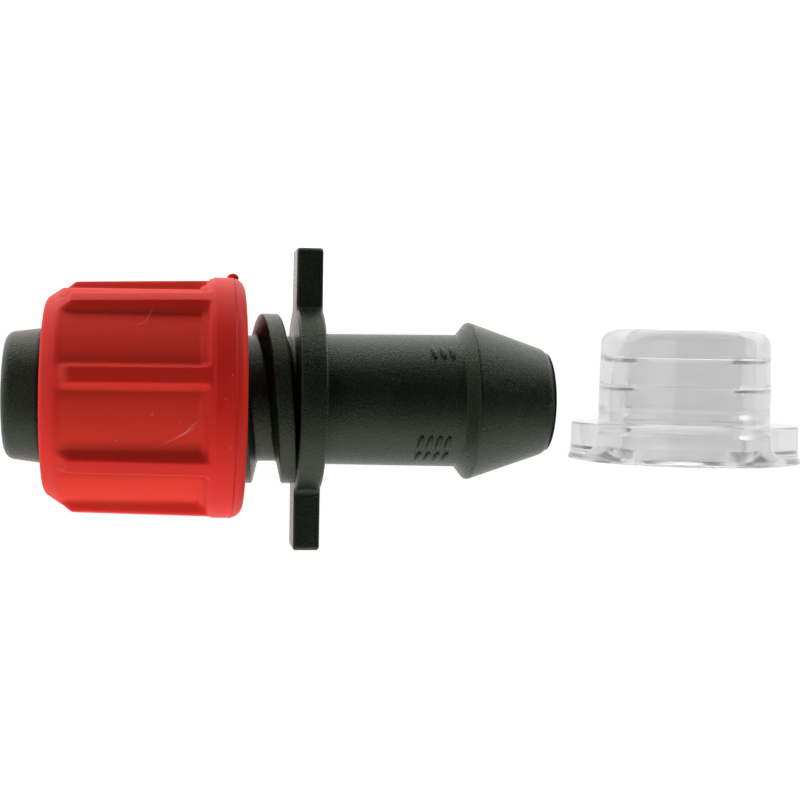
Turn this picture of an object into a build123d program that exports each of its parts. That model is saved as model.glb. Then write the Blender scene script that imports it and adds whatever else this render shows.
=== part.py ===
"""Take-off connector for thin-wall drip tape: barbed body, lock nut, slip ring and pipe grommet.

The connector lies on a bench. +X runs along its bore, from the tape nose to the pipe barb. The two wings
reach along +Y and -Y, and +Z is up. The origin is on the bore's axis, at the flange face that seats
against the pipe grommet. Lengths are in millimetres.
"""

import os
from math import atan2, copysign, cos, degrees, radians, sin

from build123d import *

os.makedirs("parts", exist_ok=True)

# Bore and barrel: the part between the flange and the barb.
bore_radius = 5.6
barrel_radius = 7.95
barrel_end_radius = 8.15
barb_start = 16.9
barb_ridge_x = 18.0
barb_ridge_length = 0.9
barb_ridge_radius = 9.6
barb_tip_x = 28.3
barb_tip_radius = 6.35
tip_round = 0.7

# Flange plate and its two finger wings.
flange_thickness = 3.2
flange_radius = 11.3
wing_reach = 18.25
wing_depth = 6.0
wing_corner = 0.6
flange_edge_round = 0.4

# Stem, tape nose and the coarse thread between them.
stem_radius = 7.6
nose_ridge_x = -33.2
nose_ridge_radius = 8.0
nose_ridge_foot_x = -31.4
nose_tip_x = -37.2
nose_tip_radius = 7.45
nose_round = 1.2

thread_pitch = 5.5
thread_crest_radius = 10.3
thread_crest_width = 2.0
thread_root_width = 3.2
thread_end_x = -20.5
lead_in_length = 3.0
# The crest's centre on the +Y side, which sets the phase of both threads.
thread_crest_x_at_y = -6.3
thread_buried_x = -2.4
root_overlap = 0.4

# Lock nut: shoulder, ribbed grip and collar.
nut_left_x = -32.6
nut_right_x = -9.3
shoulder_radius = 11.5
shoulder_round = 0.8
groove_start_x = -30.6
groove_start_radius = 12.85
groove_end_x = -13.5
groove_end_radius = 13.0
groove_step_x = -14.3
groove_step_radius = 13.3
collar_radius = 14.55
collar_round = 1.6
rib_count = 8
rib_turn = 78.2
rib_root_width = 3.3
rib_crest_width = 2.2
rib_slope_x = -29.1
rib_start_radius = 13.87
rib_end_radius = 14.35

# Inside the nut.
mouth_radius = 8.45
mouth_chamfer = 0.5
ring_pocket_start_x = -31.2
ring_pocket_end_x = -27.8
ring_pocket_radius = 11.0
nut_bore_radius = 10.6
nut_thread_inner_radius = 8.6
nut_thread_start_x = -24.6
nut_thread_end_x = -12.4
thread_flank_gap = 0.25
right_mouth_chamfer = 0.6

# Slip ring between the nut and the tape.
ring_left_x = -31.1
ring_right_x = -27.9
ring_outer_radius = 10.92
ring_inner_radius = 8.3
ring_slit = 1.6
ring_round = 0.4

# Pipe grommet, standing beside the barb with its dome towards +Y.
grommet_x = 46.5
grommet_base_y = -7.1
grommet_height = 16.4
grommet_flange_radius = 14.25
grommet_flange_height = 4.65
flash_radius = 14.55
flash_thickness = 0.35
neck_radius = 10.75
neck_top_radius = 10.55
wall_seat_length = 4.0
dome_round = 1.8
grommet_mouth_radius = 8.9
grommet_mouth_depth = 1.6
grommet_bore_radius = 7.7
land_radius = 7.1
land_start = 9.3
land_end = 12.3
land_ramp = 0.7
seal_ridge_height = 0.4
seal_ridge_half_width = 0.6
seal_ridge_places = (3.6, 6.0)


def section_plane(x, angle):
    """The plane through the X axis at the angle from +Y towards +Z, its own y pointing outward."""
    outward = Vector(0, cos(radians(angle)), sin(radians(angle)))
    return Plane(origin=(x, 0, 0), x_dir=(1, 0, 0), z_dir=Vector(1, 0, 0).cross(outward))


def thread_section(root_radius, tip_radius, root_width, tip_width):
    """A thread's trapezoid, its flanks carried on a little way into the wall that it stands on."""
    slope = (root_width - tip_width) / 2 / (tip_radius - root_radius)
    foot = root_radius - copysign(root_overlap, tip_radius - root_radius)
    foot_width = tip_width + 2 * slope * (tip_radius - foot)
    return [
        (-foot_width / 2, foot),
        (-tip_width / 2, tip_radius),
        (tip_width / 2, tip_radius),
        (foot_width / 2, foot),
    ]


def coil_angle(x, crest_x_at_y):
    """Where a right-handed thread's crest is at x, in degrees from +Y towards +Z."""
    return 360 * (x - crest_x_at_y) / thread_pitch


def helix_to(start_x, end_x, radius):
    """The thread's path about +X, and the angle from +Y towards +Z at which it starts."""
    path = Helix(
        pitch=thread_pitch,
        height=end_x - start_x,
        radius=radius,
        center=(start_x, 0, 0),
        direction=(1, 0, 0),
    )
    start = path @ 0
    return path, degrees(atan2(start.Z, start.Y))


# --- Connector body -------------------------------------------------------------------------------------

with BuildPart() as body_thread:
    with BuildLine():
        coil, coil_start = helix_to(thread_end_x, thread_buried_x, stem_radius)
    with BuildSketch(section_plane(thread_end_x, coil_start)):
        Polygon(
            *thread_section(stem_radius, thread_crest_radius, thread_root_width, thread_crest_width),
            align=None,
        )
    sweep(path=coil, is_frenet=True)

body_thread_turn = coil_angle(thread_end_x, thread_crest_x_at_y) - coil_start

with BuildPart() as trimmed_thread:
    # The lead-in tapers the thread's start at the nose end.
    with BuildSketch(Plane.XY):
        Polygon(
            (thread_end_x - lead_in_length, 0),
            (thread_end_x - lead_in_length, stem_radius - 2 * root_overlap),
            (thread_end_x + lead_in_length, thread_crest_radius + 2 * root_overlap),
            (0, thread_crest_radius + 2 * root_overlap),
            (0, 0),
            align=None,
        )
    revolve(axis=Axis.X)
    add(body_thread.part, rotation=(body_thread_turn, 0, 0), mode=Mode.INTERSECT)

with BuildPart() as connector_body:
    # Stem with the coarse right-handed thread.
    with BuildSketch(Plane.YZ.offset(nose_ridge_foot_x)):
        Circle(stem_radius)
    extrude(amount=-nose_ridge_foot_x)
    add(trimmed_thread.part)

    # Round flange with two wings.
    with BuildSketch(Plane.YZ.offset(-flange_thickness)):
        Circle(flange_radius)
        RectangleRounded(2 * wing_reach, wing_depth, wing_corner)
    extrude(amount=flange_thickness)
    flange_faces = connector_body.faces().filter_by(Plane.YZ)
    rims = [face.outer_wire().edges() for face in flange_faces if face.outer_wire().length > 4 * wing_reach]
    chamfer([edge for rim in rims for edge in rim], length=flange_edge_round)

    # Tape nose, with the ridge that the tape is stretched over.
    with BuildSketch(Plane.XY):
        Polygon(
            (nose_tip_x, 0),
            (nose_tip_x, nose_tip_radius),
            (nose_ridge_x, nose_ridge_radius),
            (nose_ridge_foot_x, stem_radius),
            (nose_ridge_foot_x, 0),
            align=None,
        )
    revolve(axis=Axis.X)
    fillet(connector_body.edges().filter_by(GeomType.CIRCLE).sort_by(Axis.X)[0], radius=nose_round)

    # Barrel and barb.
    with BuildSketch(Plane.XY):
        Polygon(
            (-flange_thickness / 2, 0),
            (-flange_thickness / 2, barrel_radius),
            (0, barrel_radius),
            (barb_start, barrel_end_radius),
            (barb_ridge_x, barb_ridge_radius),
            (barb_ridge_x + barb_ridge_length, barb_ridge_radius),
            (barb_tip_x, barb_tip_radius),
            (barb_tip_x, 0),
            align=None,
        )
    revolve(axis=Axis.X)
    fillet(connector_body.edges().filter_by(GeomType.CIRCLE).sort_by(Axis.X)[-1], radius=tip_round)

    # Bore, right through.
    with BuildSketch(Plane.YZ.offset(nose_tip_x)):
        Circle(bore_radius)
    extrude(amount=barb_tip_x - nose_tip_x, mode=Mode.SUBTRACT)

connector_body.part.label = "connector_body"
export_step(connector_body.part, "parts/connector_body.step")

# --- Lock nut -------------------------------------------------------------------------------------------

nut_crest_x_at_y = thread_crest_x_at_y + thread_pitch / 2
thread_flank_slope = (thread_root_width - thread_crest_width) / 2 / (thread_crest_radius - stem_radius)
nut_thread_root_width = (
    thread_pitch
    - thread_crest_width
    + 2 * thread_flank_slope * (nut_bore_radius - thread_crest_radius)
    - 2 * thread_flank_gap
)
nut_thread_height = nut_bore_radius - nut_thread_inner_radius
nut_thread_tip_width = nut_thread_root_width - 2 * thread_flank_slope * nut_thread_height

with BuildPart() as nut_thread:
    with BuildLine():
        nut_coil, nut_coil_start = helix_to(nut_thread_start_x, nut_thread_end_x, nut_bore_radius)
    with BuildSketch(section_plane(nut_thread_start_x, nut_coil_start)):
        Polygon(
            *thread_section(
                nut_bore_radius, nut_thread_inner_radius, nut_thread_root_width, nut_thread_tip_width
            ),
            align=None,
        )
    sweep(path=nut_coil, is_frenet=True)

nut_thread_turn = coil_angle(nut_thread_start_x, nut_crest_x_at_y) - nut_coil_start

with BuildPart() as nut_ribs:
    with BuildSketch(Plane.YZ.offset(groove_start_x)):
        with PolarLocations(0, rib_count, start_angle=rib_turn):
            Polygon(
                (groove_start_radius - root_overlap, -rib_root_width / 2),
                (collar_radius, -rib_crest_width / 2),
                (collar_radius, rib_crest_width / 2),
                (groove_start_radius - root_overlap, rib_root_width / 2),
                align=None,
            )
    extrude(amount=groove_end_x - groove_start_x)
    with BuildSketch(Plane.XY):
        Polygon(
            (groove_start_x, 0),
            (groove_start_x, groove_start_radius),
            (rib_slope_x, rib_start_radius),
            (groove_end_x, rib_end_radius),
            (groove_end_x, 0),
            align=None,
        )
    revolve(axis=Axis.X, mode=Mode.INTERSECT)

with BuildPart() as lock_nut:
    # Outside without the ribs.
    with BuildSketch(Plane.XY):
        Polygon(
            (nut_left_x, 0),
            (nut_left_x, shoulder_radius),
            (groove_start_x, groove_start_radius),
            (groove_step_x, groove_end_radius),
            (groove_step_x, groove_step_radius),
            (groove_end_x, groove_step_radius),
            (groove_end_x, collar_radius),
            (nut_right_x, collar_radius),
            (nut_right_x, 0),
            align=None,
        )
    revolve(axis=Axis.X)
    end_edges = lock_nut.edges().filter_by(GeomType.CIRCLE).sort_by(Axis.X)
    fillet(end_edges[0], radius=shoulder_round)
    fillet(end_edges[-1], radius=collar_round)
    add(nut_ribs.part)

    # Inside: mouth for the tape, pocket for the slip ring, and the threaded bore.
    with BuildSketch(Plane.XY):
        Polygon(
            (nut_left_x, 0),
            (nut_left_x, mouth_radius + mouth_chamfer),
            (nut_left_x + mouth_chamfer, mouth_radius),
            (ring_pocket_start_x, mouth_radius),
            (ring_pocket_start_x, ring_pocket_radius),
            (ring_pocket_end_x, ring_pocket_radius),
            (ring_pocket_end_x, nut_bore_radius),
            (nut_right_x - right_mouth_chamfer, nut_bore_radius),
            (nut_right_x, nut_bore_radius + right_mouth_chamfer),
            (nut_right_x, 0),
            align=None,
        )
    revolve(axis=Axis.X, mode=Mode.SUBTRACT)
    add(nut_thread.part, rotation=(nut_thread_turn, 0, 0))

lock_nut.part.label = "lock_nut"
export_step(lock_nut.part, "parts/lock_nut.step")

# --- Slip ring ------------------------------------------------------------------------------------------

with BuildPart() as clamp_ring:
    with BuildSketch(Plane.YZ.offset(ring_left_x)):
        Circle(ring_outer_radius)
        Circle(ring_inner_radius, mode=Mode.SUBTRACT)
        with Locations((-ring_outer_radius, 0)):
            Rectangle(ring_outer_radius, ring_slit, mode=Mode.SUBTRACT)
    extrude(amount=ring_right_x - ring_left_x)
    inner_rims = clamp_ring.edges().filter_by(GeomType.CIRCLE).sort_by(SortBy.RADIUS)[:2]
    chamfer(inner_rims, length=ring_round)

clamp_ring.part.label = "clamp_ring"
export_step(clamp_ring.part, "parts/clamp_ring.step")

# --- Pipe grommet ---------------------------------------------------------------------------------------


def seal_ridge(place):
    """The three points of one inner sealing ridge, as radius and height."""
    return [
        (grommet_bore_radius, place - seal_ridge_half_width),
        (grommet_bore_radius - seal_ridge_height, place),
        (grommet_bore_radius, place + seal_ridge_half_width),
    ]


grommet_foot = (grommet_x, grommet_base_y, 0)
inner_wall = [(grommet_mouth_radius, 0), (grommet_bore_radius, grommet_mouth_depth)]
for ridge_place in seal_ridge_places:
    inner_wall += seal_ridge(ridge_place)
inner_wall += [
    (grommet_bore_radius, land_start - land_ramp),
    (land_radius, land_start),
    (land_radius, land_end),
    (grommet_bore_radius, land_end + land_ramp),
    (grommet_bore_radius, grommet_height),
]
outer_wall = [
    (neck_top_radius, grommet_height),
    (neck_radius, grommet_flange_height + wall_seat_length),
    (neck_radius, grommet_flange_height),
    (grommet_flange_radius, grommet_flange_height),
    (grommet_flange_radius, flash_thickness),
    (flash_radius, flash_thickness),
    (flash_radius, 0),
]

with BuildPart() as grommet:
    with BuildSketch(Plane(origin=grommet_foot, z_dir=(0, 0, 1))) as section:
        with BuildLine():
            Polyline(*inner_wall, *outer_wall, close=True)
        make_face()
        fillet(section.vertices().sort_by(Axis.Y)[-2:].sort_by(Axis.X)[-1], radius=dome_round)
    revolve(axis=Axis(grommet_foot, (0, 1, 0)))

grommet.part.label = "grommet"
export_step(grommet.part, "parts/grommet.step")
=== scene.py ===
"""Drip tape take-off connector: a barbed body with a coarse thread, a ribbed lock nut and a pipe grommet.

Run as a script. Each piece has its own operator, and the panel in the 3D view's sidebar lists them.
"""

import math

import bmesh
import bpy
from mathutils import Matrix, Vector


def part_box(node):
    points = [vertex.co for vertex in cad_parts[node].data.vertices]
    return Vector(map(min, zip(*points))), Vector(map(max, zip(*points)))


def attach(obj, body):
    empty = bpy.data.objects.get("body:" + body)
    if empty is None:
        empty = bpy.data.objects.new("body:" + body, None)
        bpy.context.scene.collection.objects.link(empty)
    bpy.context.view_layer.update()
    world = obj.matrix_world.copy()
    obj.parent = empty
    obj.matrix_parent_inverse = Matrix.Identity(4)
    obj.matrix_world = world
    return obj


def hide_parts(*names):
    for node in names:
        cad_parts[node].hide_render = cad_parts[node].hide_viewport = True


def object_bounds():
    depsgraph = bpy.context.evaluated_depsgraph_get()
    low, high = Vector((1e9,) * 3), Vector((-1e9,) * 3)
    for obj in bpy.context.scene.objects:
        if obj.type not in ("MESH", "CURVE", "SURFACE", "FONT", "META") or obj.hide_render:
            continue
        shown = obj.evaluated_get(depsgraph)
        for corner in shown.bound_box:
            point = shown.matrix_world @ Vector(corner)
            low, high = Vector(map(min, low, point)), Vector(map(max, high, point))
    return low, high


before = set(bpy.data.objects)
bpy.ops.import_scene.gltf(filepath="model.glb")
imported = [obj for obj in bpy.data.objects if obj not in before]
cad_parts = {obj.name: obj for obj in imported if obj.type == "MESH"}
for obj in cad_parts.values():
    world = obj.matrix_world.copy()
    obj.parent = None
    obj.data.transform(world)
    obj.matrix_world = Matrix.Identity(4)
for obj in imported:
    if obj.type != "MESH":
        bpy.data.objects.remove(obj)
cad_low, cad_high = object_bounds()

bl_info = {
    "name": "Drip Tape Take-off Connector",
    "version": (1, 0, 0),
    "blender": (4, 5, 0),
    "location": "3D View > Sidebar > Connector",
    "description": "Builds a drip tape take-off connector with its lock nut and pipe grommet",
    "category": "Add Mesh",
}

MM = 0.001
FULL_TURN = 2 * math.pi
X_AXIS = Vector((1, 0, 0))
Y_AXIS = Vector((0, 1, 0))

# Places along the bore, and radii, in millimetres from the frame's origin.
BODY_LEFT, BODY_RIGHT = (corner.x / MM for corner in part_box("connector_body"))
WING_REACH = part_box("connector_body")[1].y / MM
NUT_LEFT, NUT_RIGHT = (corner.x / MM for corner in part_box("lock_nut"))
COLLAR_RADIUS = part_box("lock_nut")[1].z / MM
GROMMET_BASE, GROMMET_TOP = (corner.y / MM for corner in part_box("grommet"))
FLASH_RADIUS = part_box("grommet")[1].z / MM
GROMMET_X = (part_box("grommet")[0].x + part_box("grommet")[1].x) / 2 / MM

BORE_RADIUS = 5.6
STEM_RADIUS = 7.6
BARREL_RADIUS = 7.95
BARREL_END_RADIUS = 8.15
FLANGE_THICKNESS = 3.2
FLANGE_RADIUS = 11.3
WING_HALF_DEPTH = 3.0

THREAD_PITCH = 5.5
THREAD_CREST_RADIUS = 10.3
THREAD_CREST_HALF = 1.0
THREAD_ROOT_HALF = 1.6
THREAD_LEFT, THREAD_RIGHT = -20.5, -2.4
THREAD_STEPS = 72
CREST_X_AT_Y = -6.3
NUT_BORE_RADIUS = 10.6
NUT_THREAD_INNER_RADIUS = 8.6
NUT_THREAD_CREST_HALF = 1.12
NUT_THREAD_ROOT_HALF = 1.5
NUT_THREAD_FOOT_HALF = 1.9
NUT_THREAD_LEFT, NUT_THREAD_RIGHT = -24.6, -12.4

POCKET_LEFT = -30.6
RIB_START = -29.1
POCKET_RIGHT = -13.5
POCKET_RADIUS = 12.85
RIB_START_RADIUS = 13.87
RIB_RISE = 0.48
MOUTH_RADIUS = 8.45
RING_POCKET_RADIUS = 11.0
RING_POCKET_LEFT = -31.2
RING_POCKET_RIGHT = -27.8

# The grommet's radii, and the heights of its land above its base.
NECK_RADIUS = 10.75
GROMMET_BORE_RADIUS = 7.7
LAND_RADIUS = 7.25
SEAL_RIDGE_RADIUS = 7.45
LAND_START = 9.4
LAND_END = 12.2


# --- Shapes ---------------------------------------------------------------------------------------------


def rounded(corners, steps=5):
    """An outline's points from corners of (along, across, round), each round drawn as an arc."""
    points = []
    for i, (along, across, radius) in enumerate(corners):
        here = Vector((along, across))
        if radius == 0:
            points.append(here)
            continue
        before = (Vector(corners[i - 1][:2]) - here).normalized()
        after = (Vector(corners[(i + 1) % len(corners)][:2]) - here).normalized()
        half = before.angle(after) / 2
        centre = here + (before + after).normalized() * radius / math.sin(half)
        start = here + before * radius / math.tan(half) - centre
        end = here + after * radius / math.tan(half) - centre
        points += [centre + start.slerp(end, i / steps).normalized() * radius for i in range(steps + 1)]
    return points


def between(first, last, count):
    """Evenly spaced numbers after first and before last."""
    return [first + (last - first) * i / (count + 1) for i in range(1, count + 1)]


def smooth_step(value, low, high):
    """0 below low and 1 above high, with a smooth rise between them."""
    share = min(max((value - low) / (high - low), 0), 1)
    return share * share * (3 - 2 * share)


def closed_loop(bm, places):
    """Vertices at these places, joined into a ring of edges."""
    verts = [bm.verts.new(place) for place in places]
    edges = [bm.edges.new((verts[i - 1], vert)) for i, vert in enumerate(verts)]
    return verts + edges


def join(bm, other):
    """Adds another mesh's shells to bm."""
    mesh = bpy.data.meshes.new("joined")
    other.to_mesh(mesh)
    other.free()
    bm.from_mesh(mesh)
    bpy.data.meshes.remove(mesh)


def turn_about_bore(bm, outline, steps):
    """Turns an outline of (x, radius) all the way round the bore's axis."""
    ring = closed_loop(bm, [Vector((x, radius, 0)) * MM for x, radius in outline])
    bmesh.ops.spin(
        bm, geom=ring, cent=(0, 0, 0), axis=X_AXIS, angle=FULL_TURN, steps=steps, use_merge=True
    )


def wind_thread(bm, outline, start_x, end_x, crest_x_at_y, steps_per_turn):
    """Winds a section of (x, radius) along a right-handed thread about the bore's axis, and caps its ends."""
    turns = (end_x - start_x) / THREAD_PITCH
    steps = round(turns * steps_per_turn)
    start_turn = Matrix.Rotation((start_x - crest_x_at_y) / THREAD_PITCH * FULL_TURN, 3, "X")
    places = [start_turn @ Vector((start_x + x, radius, 0)) * MM for x, radius in outline]
    coil = bmesh.new()
    ring = closed_loop(coil, places)
    first = [item for item in ring if isinstance(item, bmesh.types.BMEdge)]
    wound = bmesh.ops.spin(
        coil,
        geom=ring,
        cent=(0, 0, 0),
        axis=X_AXIS,
        dvec=X_AXIS * (end_x - start_x) * MM / steps,
        angle=turns * FULL_TURN,
        steps=steps,
    )
    last = [item for item in wound["geom_last"] if isinstance(item, bmesh.types.BMEdge)]
    for rim in (first, last):
        bmesh.ops.edgeloop_fill(coil, edges=rim)
    join(bm, coil)


def make_piece(name, bm, material, body, node):
    """Finishes the mesh of one piece and sets it on its body in place of its CAD node."""
    bmesh.ops.recalc_face_normals(bm, faces=bm.faces)
    mesh = bpy.data.meshes.new(name)
    bm.to_mesh(mesh)
    bm.free()
    mesh.shade_smooth()
    mesh.materials.append(material)
    piece = bpy.data.objects.new(name, mesh)
    bpy.context.scene.collection.objects.link(piece)
    even = piece.modifiers.new("even_shading", "WEIGHTED_NORMAL")
    even.keep_sharp = True
    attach(piece, body)
    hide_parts(node)


# --- Materials ------------------------------------------------------------------------------------------


class Socket:
    """A node's output, on which Python's operators add Math nodes."""

    def __init__(self, finish, link):
        self.finish = finish
        self.link = link

    def _math(self, operation, first, second):
        return self.finish.node("ShaderNodeMath", {"operation": operation}, {0: first, 1: second})

    def __add__(self, other):
        return self._math("ADD", self, other)

    def __radd__(self, other):
        return self._math("ADD", other, self)

    def __sub__(self, other):
        return self._math("SUBTRACT", self, other)

    def __mul__(self, other):
        return self._math("MULTIPLY", self, other)

    def __rmul__(self, other):
        return self._math("MULTIPLY", other, self)


class Finish:
    """The nodes of one material or sky, all added by one method."""

    def __init__(self, owner, shader="Principled BSDF"):
        owner.use_nodes = True
        self.owner = owner
        self.tree = owner.node_tree
        self.shader = self.tree.nodes[shader]

    def node(self, kind, settings=None, inputs=None, output=0):
        """Adds a node, sets it up, fills its sockets with values or links, and returns one output."""
        made = self.tree.nodes.new(kind)
        for key, value in (settings or {}).items():
            if key == "stops":
                for stop, (place, shade) in zip(self._stops(made, len(value)), value):
                    stop.position = place
                    stop.color = (shade, shade, shade, 1)
            else:
                setattr(made, key, value)
        self.fill(made, inputs or {})
        return Socket(self, made.outputs[output])

    def fill(self, made, inputs):
        """Fills a node's sockets with values or links."""
        for key, value in inputs.items():
            if isinstance(value, Socket):
                self.tree.links.new(value.link, made.inputs[key])
            else:
                made.inputs[key].default_value = value

    def _stops(self, ramp, count):
        stops = ramp.color_ramp.elements
        while len(stops) < count:
            stops.new(1)
        return stops

    def place(self):
        """The point on the object, in metres."""
        return self.node("ShaderNodeTexCoord", output="Object")

    def noise(self, grain, detail=2.0, roughness=0.5):
        """Even noise whose grains are about this many millimetres across."""
        return self.node(
            "ShaderNodeTexNoise",
            None,
            {"Vector": self.place(), "Scale": 1 / (grain * MM), "Detail": detail, "Roughness": roughness},
        )

    def ramp(self, value, *stops):
        """A value drawn through stops of (place, shade)."""
        return self.node("ShaderNodeValToRGB", {"stops": stops}, {"Fac": value})

    def mix(self, amount, first, second):
        """A blend of two colours."""
        return self.node(
            "ShaderNodeMix", {"data_type": "RGBA"}, {0: amount, 6: first, 7: second}, output=2
        )

    def spot(self, centre, half_size, turn=0.0):
        """A soft spot, 1 at its centre and 0 at its rim, of half sizes in millimetres, turned about Z."""
        placed = self.node(
            "ShaderNodeMapping",
            {"vector_type": "TEXTURE"},
            {
                "Vector": self.place(),
                "Location": Vector(centre) * MM,
                "Rotation": (0, 0, math.radians(turn)),
                "Scale": Vector(half_size) * MM,
            },
        )
        return self.node(
            "ShaderNodeTexGradient", {"gradient_type": "SPHERICAL"}, {"Vector": placed}, output=1
        )

    def bump(self, height, depth, strength=1.0, normal=None):
        """A surface raised by height times depth millimetres."""
        inputs = {"Height": height, "Distance": depth * MM, "Strength": strength}
        if normal:
            inputs["Normal"] = normal
        return self.node("ShaderNodeBump", None, inputs)


def colour(settings_value):
    """A colour property as four numbers."""
    return (*settings_value, 1)


def body_finish(settings):
    """Black plastic from a spark-eroded mould: dark from the front, and grained where light grazes it."""
    finish = Finish(bpy.data.materials.new("body_plastic"))
    grain = finish.noise(0.3, 3, 0.7)
    fine = finish.noise(0.12, 2, 0.6)
    clouds = finish.noise(7, 3, 0.5)
    dusty = finish.ramp(fine, (0.54, 0), (0.64, 1)) * 0.8 + 0.25 * finish.ramp(clouds, (0.4, 0), (0.7, 1))
    finish.fill(
        finish.shader,
        {
            "Base Color": finish.mix(dusty, colour(settings.body_colour), colour(settings.dust_colour)),
            "Roughness": 0.17 + 0.1 * clouds + 0.08 * fine,
            "Specular IOR Level": 0.42,
            "Specular Tint": (0.92, 1.0, 0.72, 1),
            "Normal": finish.bump(fine, 0.05, 0.8, finish.bump(grain, 0.11, 1.0)),
        },
    )
    return finish.owner


def nut_finish(settings):
    """Red plastic, satin on the ribs and duller in the pockets, with a few light scratches and specks. The
    pockets are painted a lighter red as painted light, and the pockets along the foot of each rib carry
    painted shade.
    """
    finish = Finish(bpy.data.materials.new("nut_plastic"))
    pocket = finish.node("ShaderNodeAttribute", {"attribute_name": "pocket"}, None, output="Fac")
    beside = finish.node("ShaderNodeAttribute", {"attribute_name": "beside"}, None, output="Fac")
    clouds = finish.noise(5, 3, 0.55)
    fine = finish.noise(0.2, 2, 0.6)
    worn = finish.noise(1.4, 4, 0.6)
    # Painted light: the pockets get a lighter red than the ribs, to make up for the light they lack.
    red_with_lit_pockets = finish.mix(pocket, colour(settings.nut_colour), colour(settings.pocket_painted_light_colour))
    # Painted shade: the pockets turn darker along the foot of each rib and next to the collar.
    shaded = finish.mix(beside * 0.4, red_with_lit_pockets, colour(settings.painted_shade_colour))
    patchy = finish.mix(finish.ramp(clouds, (0.35, 0), (0.75, 1)) * 0.2, shaded, (0.55, 0.05, 0.035, 1))
    scratches = (
        finish.spot((-16.8, -3.9, 12.6), (3.0, 0.16, 2.5), 29)
        + finish.spot((-15.6, -2.9, 12.6), (1.7, 0.12, 2.5), 43)
        + finish.spot((-20.6, 9.4, 8.8), (1.5, 0.12, 2.5), 62)
        + finish.spot((-21.5, 8.6, 9.2), (0.9, 0.1, 2.5), 20)
    )
    specks = finish.ramp(finish.noise(0.55, 1, 0.4), (0.77, 0), (0.8, 1))
    broken = finish.ramp(scratches, (0.1, 0), (0.7, 1)) * finish.ramp(worn, (0.35, 0.3), (0.6, 1))
    marks = broken + specks * 0.5
    finish.fill(
        finish.shader,
        {
            "Base Color": finish.mix(marks * 0.45, patchy, (0.9, 0.42, 0.36, 1)),
            "Roughness": 0.42 + 0.2 * pocket + 0.12 * worn,
            "Specular IOR Level": 0.11,
            "Normal": finish.bump(fine, 0.012, 0.7, finish.bump(worn, 0.04, 0.6)),
        },
    )
    return finish.owner


def ring_finish():
    """Natural slippery plastic."""
    finish = Finish(bpy.data.materials.new("ring_plastic"))
    finish.fill(
        finish.shader,
        {
            "Base Color": finish.mix(finish.noise(2, 3), (0.56, 0.54, 0.48, 1), (0.48, 0.46, 0.41, 1)),
            "Roughness": 0.4 + 0.15 * finish.noise(0.5),
            "Normal": finish.bump(finish.noise(0.2), 0.01, 0.5),
        },
    )
    return finish.owner


def silicone_finish(settings):
    """Cloudy clear silicone with a slight waviness."""
    finish = Finish(bpy.data.materials.new("silicone"))
    wavy = finish.noise(4, 2, 0.4)
    finish.fill(
        finish.shader,
        {
            "Base Color": colour(settings.silicone_colour),
            "Roughness": 0.04 + 0.06 * finish.ramp(finish.noise(1.5, 3), (0.4, 0), (0.8, 1)),
            "IOR": 1.41,
            "Transmission Weight": 0.79,
            "Normal": finish.bump(wavy, 0.05, 0.5),
        },
    )
    return finish.owner


def floor_finish(settings):
    """A plain pale floor that glows enough to keep shadows faint, and more on the far side."""
    finish = Finish(bpy.data.materials.new("pale_floor"))
    sides = finish.node("ShaderNodeSeparateXYZ", None, {0: finish.place()}, output=1)
    far_side = finish.ramp(40 * sides - 0.3, (0, 0), (1, 1))
    finish.fill(
        finish.shader,
        {
            "Base Color": colour(settings.floor_colour),
            "Roughness": 0.8,
            "Emission Color": finish.mix(far_side, (0.42, 0.42, 0.42, 1), (1, 1, 1, 1)),
            "Emission Strength": settings.floor_glow,
        },
    )
    return finish.owner


# --- Settings -------------------------------------------------------------------------------------------


class ConnectorFinishes(bpy.types.PropertyGroup):
    """Colours that a user would change."""

    body_colour: bpy.props.FloatVectorProperty(
        name="Body", description="Colour of the body's plastic", subtype="COLOR",
        default=(0.0014, 0.0056, 0.0030),
    )
    dust_colour: bpy.props.FloatVectorProperty(
        name="Dust", description="Colour of the body where it is dusty", subtype="COLOR",
        default=(0.019, 0.032, 0.020),
    )
    nut_colour: bpy.props.FloatVectorProperty(
        name="Nut", description="Colour of the nut's ribs", subtype="COLOR", default=(0.87, 0.027, 0.018)
    )
    # Painted light: a lighter red for the pockets, standing in for light that falls short there.
    pocket_painted_light_colour: bpy.props.FloatVectorProperty(
        name="Pockets", description="Colour between the ribs", subtype="COLOR", default=(0.92, 0.046, 0.026)
    )
    # Painted shade colour, laid along the foot of the ribs and beside the collar.
    painted_shade_colour: bpy.props.FloatVectorProperty(
        name="Shade", description="Colour along the foot of the ribs", subtype="COLOR",
        default=(0.38, 0.022, 0.014),
    )
    silicone_colour: bpy.props.FloatVectorProperty(
        name="Silicone", description="Tint of the grommet", subtype="COLOR", default=(0.93, 0.93, 0.93)
    )


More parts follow.
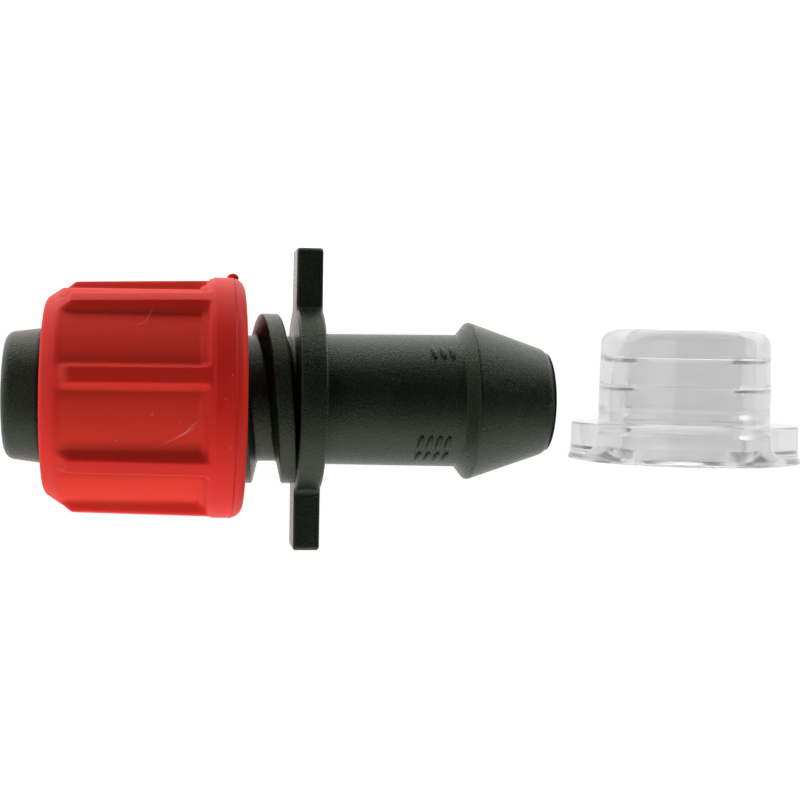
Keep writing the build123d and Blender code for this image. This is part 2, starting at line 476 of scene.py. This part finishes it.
class ConnectorStage(bpy.types.PropertyGroup):
    """Camera, floor and light."""

    eye: bpy.props.FloatVectorProperty(
        name="Eye", description="Where the camera stands", subtype="XYZ", unit="LENGTH",
        default=(-0.018, 0.006, 0.180),
    )
    aim: bpy.props.FloatVectorProperty(
        name="Aim", description="What the camera looks at", subtype="XYZ", unit="LENGTH",
        default=(0.010, 0.0, 0.0),
    )
    roll: bpy.props.FloatProperty(
        name="Roll", description="Turn of the camera about its view", subtype="ANGLE", default=-0.018
    )
    lens: bpy.props.FloatProperty(name="Lens", description="Focal length, in millimetres", default=66.5)
    floor_colour: bpy.props.FloatVectorProperty(
        name="Floor", description="Colour of the floor", subtype="COLOR", default=(0.55, 0.55, 0.55)
    )
    floor_glow: bpy.props.FloatProperty(
        name="Floor glow", description="Light that the floor gives, to keep shadows faint", default=2.0
    )
    key_power: bpy.props.FloatProperty(
        name="Key light", description="Power of the light on the far side", unit="POWER", default=0.08
    )
    fill_power: bpy.props.FloatProperty(
        name="Fill light", description="Power of the light on the near side", unit="POWER", default=0.12
    )
    end_power: bpy.props.FloatProperty(
        name="End light", description="Power of the light beyond the nose", unit="POWER", default=0.3
    )
    sky_strength: bpy.props.FloatProperty(
        name="Sky", description="Brightness of the surroundings near the floor", default=1.8
    )


# --- Operators ------------------------------------------------------------------------------------------


class CONNECTOR_OT_body(bpy.types.Operator):
    """Makes the body: tape nose, stem, thread, winged flange, barrel and barb"""

    bl_idname = "connector.body"
    bl_label = "Body"

    def execute(self, context):
        bm = bmesh.new()
        self.tube(bm)
        self.flange(bm)
        self.thread(bm)
        self.marks(bm)
        material = body_finish(context.scene.connector_finishes)
        make_piece("body_shell", bm, material, "connector", "connector_body")
        return {"FINISHED"}

    def tube(self, bm):
        """The nose, stem, barrel and barb, with the bore through them."""
        inside_left = -FLANGE_THICKNESS + 0.05
        outline = [
            (BODY_LEFT, BORE_RADIUS + 0.4, 0.15),
            (BODY_LEFT, 7.45, 1.2),
            (-33.2, 8.0, 0.8),
            (-31.4, STEM_RADIUS, 0.6),
            (-FLANGE_THICKNESS, STEM_RADIUS, 0.5),
            (inside_left, STEM_RADIUS + 1.2, 0),
            (-0.05, BARREL_RADIUS + 1.0, 0),
            (0, BARREL_RADIUS, 0.45),
            (16.9, BARREL_END_RADIUS, 0.35),
            (18.2, 9.78, 0.45),
            (BODY_RIGHT, 6.35, 1.5),
            (BODY_RIGHT, BORE_RADIUS + 0.4, 0.15),
            (BODY_RIGHT - 0.4, BORE_RADIUS, 0.15),
            (BODY_LEFT + 0.4, BORE_RADIUS, 0.15),
        ]
        turn_about_bore(bm, rounded(outline), steps=192)

    def flange(self, bm):
        """The round plate with its two wings, with eased edges."""
        waist = math.sqrt(FLANGE_RADIUS**2 - WING_HALF_DEPTH**2)
        arc_start = math.asin(WING_HALF_DEPTH / FLANGE_RADIUS) + math.radians(9)
        arc_end = math.pi - arc_start
        arc = [arc_start, *between(arc_start, arc_end, 40), arc_end]
        half = [
            (WING_REACH, -WING_HALF_DEPTH, 0.6),
            (WING_REACH, WING_HALF_DEPTH, 0.6),
            (waist, WING_HALF_DEPTH, 0.9),
            *((FLANGE_RADIUS * math.cos(a), FLANGE_RADIUS * math.sin(a), 0) for a in arc),
            (-waist, WING_HALF_DEPTH, 0.9),
        ]
        corners = half + [(-y, -z, radius) for y, z, radius in half]
        plate = bmesh.new()
        closed_loop(plate, [Vector((-FLANGE_THICKNESS, y, z)) * MM for y, z in rounded(corners)])
        sheet = bmesh.ops.contextual_create(plate, geom=plate.edges)["faces"]
        grown = bmesh.ops.extrude_face_region(plate, geom=sheet, use_keep_orig=True)["geom"]
        moved = [item for item in grown if isinstance(item, bmesh.types.BMVert)]
        bmesh.ops.translate(plate, verts=moved, vec=X_AXIS * FLANGE_THICKNESS * MM)
        rims = [edge for edge in plate.edges if abs(edge.verts[0].co.x - edge.verts[1].co.x) < MM / 10]
        bmesh.ops.bevel(
            plate, geom=rims, offset=0.35 * MM, offset_type="OFFSET", affect="EDGES", segments=3,
            profile=0.5, material=-1, clamp_overlap=True,
        )
        join(bm, plate)

    def thread(self, bm):
        """The coarse thread between the nose and the flange."""
        outline = [
            (-THREAD_ROOT_HALF - 0.8, STEM_RADIUS - 0.4, 0),
            (-THREAD_ROOT_HALF - 0.8, STEM_RADIUS - 0.03, 0),
            (-THREAD_ROOT_HALF, STEM_RADIUS, 0.4),
            (-THREAD_CREST_HALF, THREAD_CREST_RADIUS, 0.28),
            (THREAD_CREST_HALF, THREAD_CREST_RADIUS, 0.28),
            (THREAD_ROOT_HALF, STEM_RADIUS, 0.4),
            (THREAD_ROOT_HALF + 0.8, STEM_RADIUS - 0.03, 0),
            (THREAD_ROOT_HALF + 0.8, STEM_RADIUS - 0.4, 0),
        ]
        wind_thread(bm, rounded(outline, 3), THREAD_LEFT, THREAD_RIGHT, CREST_X_AT_Y, THREAD_STEPS)

    def marks(self, bm):
        """Plain raised bars round the barrel, near the barb."""
        upper = [(x, 43, 8) for x in (13.2, 14.3, 15.4)]
        lower = [(x, angle, -8) for x in (11.6, 12.7, 13.8, 14.9) for angle in (127, 146)]
        for x, angle, turn in upper + lower:
            bar = bmesh.new()
            bmesh.ops.create_icosphere(bar, subdivisions=3, radius=MM)
            bmesh.ops.scale(bar, vec=(0.34, 0.3, 1.1), verts=bar.verts)
            bmesh.ops.rotate(
                bar, verts=bar.verts, cent=(0, 0, 0), matrix=Matrix.Rotation(math.radians(turn), 3, "Y")
            )
            bmesh.ops.translate(bar, verts=bar.verts, vec=Vector((x, BARREL_END_RADIUS - 0.06, 0)) * MM)
            bmesh.ops.rotate(
                bar, verts=bar.verts, cent=(0, 0, 0), matrix=Matrix.Rotation(math.radians(angle), 3, "X")
            )
            join(bm, bar)


class CONNECTOR_OT_nut(bpy.types.Operator):
    """Makes the lock nut: ribbed grip, collar, and the thread inside"""

    bl_idname = "connector.nut"
    bl_label = "Lock nut"

    rib_count = 8
    rib_turn = math.radians(78.2)

    def execute(self, context):
        bm = bmesh.new()
        self.shell(bm)
        self.thread(bm)
        self.gate_nib(bm)
        material = nut_finish(context.scene.connector_finishes)
        make_piece("lock_nut_shell", bm, material, "nut", "lock_nut")
        return {"FINISHED"}

    def shell(self, bm):
        """The nut without its thread. The grip's ribs are raised out of the turned shape."""
        before = [
            (NUT_LEFT + 0.5, MOUTH_RADIUS, 0.15),
            (NUT_LEFT, MOUTH_RADIUS + 0.5, 0.15),
            (NUT_LEFT, 11.5, 1.2),
            (POCKET_LEFT - 0.4, 12.62, 0),
            (POCKET_LEFT, POCKET_RADIUS, 0),
        ]
        grip = [(x, POCKET_RADIUS + 0.15 * (x - POCKET_LEFT) / (POCKET_RIGHT - POCKET_LEFT), 0)
                for x in between(POCKET_LEFT, POCKET_RIGHT + 0.3, 60)]
        flash_x = -10.8
        after = [
            (POCKET_RIGHT + 0.3, 14.35, 0),
            (POCKET_RIGHT + 0.6, COLLAR_RADIUS - 0.05, 0.2),
            (flash_x - 0.15, COLLAR_RADIUS - 0.05, 0),
            (flash_x, COLLAR_RADIUS, 0),
            (flash_x + 0.15, COLLAR_RADIUS - 0.06, 0),
            (NUT_RIGHT, COLLAR_RADIUS - 0.06, 1.6),
            (NUT_RIGHT, NUT_BORE_RADIUS + 0.6, 0.15),
            (NUT_RIGHT - 0.6, NUT_BORE_RADIUS, 0.15),
            (RING_POCKET_RIGHT, NUT_BORE_RADIUS, 0.1),
            (RING_POCKET_RIGHT, RING_POCKET_RADIUS, 0.1),
            (RING_POCKET_LEFT, RING_POCKET_RADIUS, 0.1),
            (RING_POCKET_LEFT, MOUTH_RADIUS, 0.1),
        ]
        turn_about_bore(bm, rounded(before + grip + after), steps=512)
        pocket = bm.verts.layers.float.new("pocket")
        # Mask of the painted shade along the foot of the ribs and beside the collar.
        beside = bm.verts.layers.float.new("beside")
        for vert in bm.verts:
            x, y, z = vert.co / MM
            radius = math.hypot(y, z)
            inside_grip = POCKET_LEFT - 0.5 < x < POCKET_RIGHT + 0.3 and radius > 12.5
            if not inside_grip:
                vert[pocket] = 0.6 * (x < POCKET_LEFT)
                continue
            crest = RIB_START_RADIUS + RIB_RISE * (x - RIB_START) / (POCKET_RIGHT - RIB_START)
            off_rib = self.off_rib(math.atan2(z, y), radius)
            raised = self.raised(x, off_rib)
            target = radius + max(crest - radius, 0) * raised
            vert.co.y *= target / radius
            vert.co.z *= target / radius
            # The pocket mask sets the duller finish and the painted lighter red of the pockets.
            vert[pocket] = (1 - raised) * smooth_step(x, POCKET_LEFT - 0.3, POCKET_LEFT + 0.9)
            # Painted shade: pockets are marked darker close to each rib and next to the collar.
            foot = max(1 - smooth_step(off_rib, 1.6, 3.2), smooth_step(x, POCKET_RIGHT - 1.2, POCKET_RIGHT))
            vert[beside] = vert[pocket] * foot

    def off_rib(self, angle, radius):
        """How far round the nut a point lies from the middle of the nearest rib, in millimetres."""
        pitch = FULL_TURN / self.rib_count
        return abs((angle - self.rib_turn + pitch / 2) % pitch - pitch / 2) * radius

    def raised(self, x, off_rib):
        """How far a point of the grip stands up out of the pockets, from 0 to 1."""
        rib = (1 - smooth_step(off_rib, 0.75, 1.6)) * smooth_step(x, POCKET_LEFT - 0.2, RIB_START)
        collar = smooth_step(x, POCKET_RIGHT - 0.5, POCKET_RIGHT + 0.1)
        step = 0.3 * smooth_step(x, POCKET_RIGHT - 1.1, POCKET_RIGHT - 0.9)
        return 1 - (1 - rib) * (1 - collar) * (1 - step)

    def thread(self, bm):
        """The thread inside, half a pitch from the body's."""
        outline = [
            (NUT_THREAD_FOOT_HALF, NUT_BORE_RADIUS + 0.3, 0),
            (NUT_THREAD_FOOT_HALF, NUT_BORE_RADIUS + 0.03, 0),
            (NUT_THREAD_ROOT_HALF, NUT_BORE_RADIUS, 0.25),
            (NUT_THREAD_CREST_HALF, NUT_THREAD_INNER_RADIUS, 0.25),
            (-NUT_THREAD_CREST_HALF, NUT_THREAD_INNER_RADIUS, 0.25),
            (-NUT_THREAD_ROOT_HALF, NUT_BORE_RADIUS, 0.25),
            (-NUT_THREAD_FOOT_HALF, NUT_BORE_RADIUS + 0.03, 0),
            (-NUT_THREAD_FOOT_HALF, NUT_BORE_RADIUS + 0.3, 0),
        ]
        crest_x_at_y = CREST_X_AT_Y + THREAD_PITCH / 2
        wind_thread(bm, rounded(outline, 3), NUT_THREAD_LEFT, NUT_THREAD_RIGHT, crest_x_at_y, THREAD_STEPS)

    def gate_nib(self, bm):
        """The stub left where the plastic was let into the mould."""
        nib = bmesh.new()
        bmesh.ops.create_icosphere(nib, subdivisions=3, radius=0.55 * MM)
        bmesh.ops.scale(nib, vec=(1.3, 1.0, 1.1), verts=nib.verts)
        bmesh.ops.translate(nib, verts=nib.verts, vec=Vector((-10.7, COLLAR_RADIUS - 0.05, 0)) * MM)
        join(bm, nib)


class CONNECTOR_OT_ring(bpy.types.Operator):
    """Gives the slip ring inside the nut its finish"""

    bl_idname = "connector.ring"
    bl_label = "Slip ring"

    def execute(self, context):
        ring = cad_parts["clamp_ring"]
        ring.material_slots[0].material = ring_finish()
        return {"FINISHED"}


class CONNECTOR_OT_grommet(bpy.types.Operator):
    """Makes the clear grommet that seals the connector into the pipe"""

    bl_idname = "connector.grommet"
    bl_label = "Grommet"

    def execute(self, context):
        bm = bmesh.new()
        flange_top = GROMMET_BASE + 4.65
        foot = [
            (FLASH_RADIUS, GROMMET_BASE, 0.08),
            (FLASH_RADIUS - 0.05, GROMMET_BASE + 0.3, 0.08),
            (14.25, GROMMET_BASE + 0.75, 0.3),
            (14.2, flange_top, 0.3),
            (NECK_RADIUS, flange_top, 0.25),
            (NECK_RADIUS, flange_top + 4.0, 0.2),
        ]
        # Two fine raised lines, level with the ramps at the two ends of the land inside.
        lines = [
            (10.74, GROMMET_BASE + 9.13, 0.03),
            (10.83, GROMMET_BASE + 9.25, 0.04),
            (10.73, GROMMET_BASE + 9.37, 0.03),
            (10.65, GROMMET_BASE + 12.73, 0.03),
            (10.74, GROMMET_BASE + 12.85, 0.04),
            (10.64, GROMMET_BASE + 12.97, 0.03),
        ]
        top_and_land = [
            (10.55, GROMMET_TOP, 1.8),
            (GROMMET_BORE_RADIUS, GROMMET_TOP, 0.5),
            (GROMMET_BORE_RADIUS, GROMMET_BASE + LAND_END + 0.8, 0.3),
            (LAND_RADIUS, GROMMET_BASE + LAND_END, 0.3),
            (LAND_RADIUS, GROMMET_BASE + LAND_START, 0.3),
            (GROMMET_BORE_RADIUS, GROMMET_BASE + LAND_START - 0.8, 0.3),
        ]
        seal_ridges = [
            corner
            for height in (6.0, 3.6)
            for corner in (
                (GROMMET_BORE_RADIUS, GROMMET_BASE + height + 0.6, 0.3),
                (SEAL_RIDGE_RADIUS, GROMMET_BASE + height, 0.2),
                (GROMMET_BORE_RADIUS, GROMMET_BASE + height - 0.6, 0.3),
            )
        ]
        mouth = [
            (GROMMET_BORE_RADIUS, GROMMET_BASE + 1.6, 0.3),
            (8.9, GROMMET_BASE, 0.3),
        ]
        outline = rounded(foot + lines + top_and_land + seal_ridges + mouth)
        ring = closed_loop(bm, [Vector((GROMMET_X + radius, y, 0)) * MM for radius, y in outline])
        bmesh.ops.spin(
            bm, geom=ring, cent=(GROMMET_X * MM, 0, 0), axis=Y_AXIS, angle=FULL_TURN, steps=160,
            use_merge=True,
        )
        material = silicone_finish(context.scene.connector_finishes)
        make_piece("grommet_skin", bm, material, "pipe_grommet", "grommet")
        return {"FINISHED"}


class CONNECTOR_OT_stage(bpy.types.Operator):
    """Makes the floor, the lights and the camera"""

    bl_idname = "connector.stage"
    bl_label = "Stage"

    def execute(self, context):
        settings = context.scene.connector_stage
        self.floor(context, settings)
        self.lights(context, settings)
        self.camera(context, settings)
        return {"FINISHED"}

    def floor(self, context, settings):
        """A round floor that the nut's collar and the grommet's rim touch."""
        bm = bmesh.new()
        bmesh.ops.create_circle(bm, cap_ends=True, segments=96, radius=1.5)
        bmesh.ops.translate(bm, verts=bm.verts, vec=(0, 0, cad_low.z))
        mesh = bpy.data.meshes.new("floor")
        bm.to_mesh(mesh)
        bm.free()
        mesh.materials.append(floor_finish(settings))
        floor = bpy.data.objects.new("floor", mesh)
        context.scene.collection.objects.link(floor)

    def lights(self, context, settings):
        """Soft light from both long sides and beyond the nose, and a sky."""
        self.softbox(context, "key", settings.key_power, (0.12, 0.45, 0.07), 0.25)
        self.softbox(context, "fill", settings.fill_power, (0.1, -0.32, 0.25), 0.35)
        self.softbox(context, "end", settings.end_power, (-0.3, 0.06, 0.28), 0.3)
        context.scene.world = self.sky(settings)
        context.scene.view_settings.view_transform = "Standard"

    def sky(self, settings):
        """A sky that is dim overhead, at both ends and on the far side, and bright on the near side."""
        sky = Finish(bpy.data.worlds.new("sky"), "Background")
        direction = sky.node("ShaderNodeTexCoord", output="Generated")
        dim_side = sky.node(
            "ShaderNodeVectorMath",
            {"operation": "DOT_PRODUCT"},
            {0: direction, 1: (0, 0.454, 0.891)},
            output="Value",
        )
        end_side = sky.node("ShaderNodeSeparateXYZ", None, {0: direction}, output=0)
        place = 0.5 + 0.5 * dim_side + 0.18 * end_side * end_side
        shade = sky.ramp(place, (0.46, 1), (0.6, 0.5), (0.72, 0.18), (0.84, 0.05), (1, 0.03))
        sky.fill(sky.shader, {"Color": (1, 1, 1, 1), "Strength": settings.sky_strength * shade})
        return sky.owner

    def softbox(self, context, name, power, place, size):
        """A square area light that faces the middle of the connector."""
        light = bpy.data.lights.new(name, "AREA")
        light.energy = power
        light.size = size
        lamp = bpy.data.objects.new(name, light)
        lamp.location = place
        lamp.rotation_euler = (-Vector(place)).to_track_quat("-Z", "Y").to_euler()
        context.scene.collection.objects.link(lamp)

    def camera(self, context, settings):
        """The view from above, a little to the nose's side."""
        lens = bpy.data.cameras.new("camera")
        lens.lens = settings.lens
        lens.clip_start = 0.01
        camera = bpy.data.objects.new("camera", lens)
        eye, aim = Vector(settings.eye), Vector(settings.aim)
        look = (aim - eye).normalized()
        right = look.cross(Y_AXIS).normalized()
        turn = Matrix((right, right.cross(look), -look)).transposed()
        turn = Matrix.Rotation(settings.roll, 3, look) @ turn
        camera.matrix_world = Matrix.Translation(eye) @ turn.to_4x4()
        context.scene.collection.objects.link(camera)
        context.scene.camera = camera


class CONNECTOR_PT_panel(bpy.types.Panel):
    """Lists the pieces and their settings"""

    bl_idname = "CONNECTOR_PT_panel"
    bl_label = "Take-off Connector"
    bl_space_type = "VIEW_3D"
    bl_region_type = "UI"
    bl_category = "Connector"

    def draw(self, context):
        for operator in OPERATORS:
            self.layout.operator(operator.bl_idname)
        for settings in (context.scene.connector_finishes, context.scene.connector_stage):
            for name in settings.__annotations__:
                self.layout.prop(settings, name)


OPERATORS = (CONNECTOR_OT_body, CONNECTOR_OT_nut, CONNECTOR_OT_ring, CONNECTOR_OT_grommet, CONNECTOR_OT_stage)
CLASSES = (ConnectorFinishes, ConnectorStage, *OPERATORS, CONNECTOR_PT_panel)


def register():
    """Adds the classes and the scene's settings."""
    for item in CLASSES:
        bpy.utils.register_class(item)
    bpy.types.Scene.connector_finishes = bpy.props.PointerProperty(type=ConnectorFinishes)
    bpy.types.Scene.connector_stage = bpy.props.PointerProperty(type=ConnectorStage)


def unregister():
    """Takes them away again."""
    del bpy.types.Scene.connector_stage
    del bpy.types.Scene.connector_finishes
    for item in reversed(CLASSES):
        bpy.utils.unregister_class(item)


def main():
    """Builds every piece and the stage."""
    register()
    bpy.ops.connector.body()
    bpy.ops.connector.nut()
    bpy.ops.connector.ring()
    bpy.ops.connector.grommet()
    bpy.ops.connector.stage()


if __name__ == "__main__":
    main()
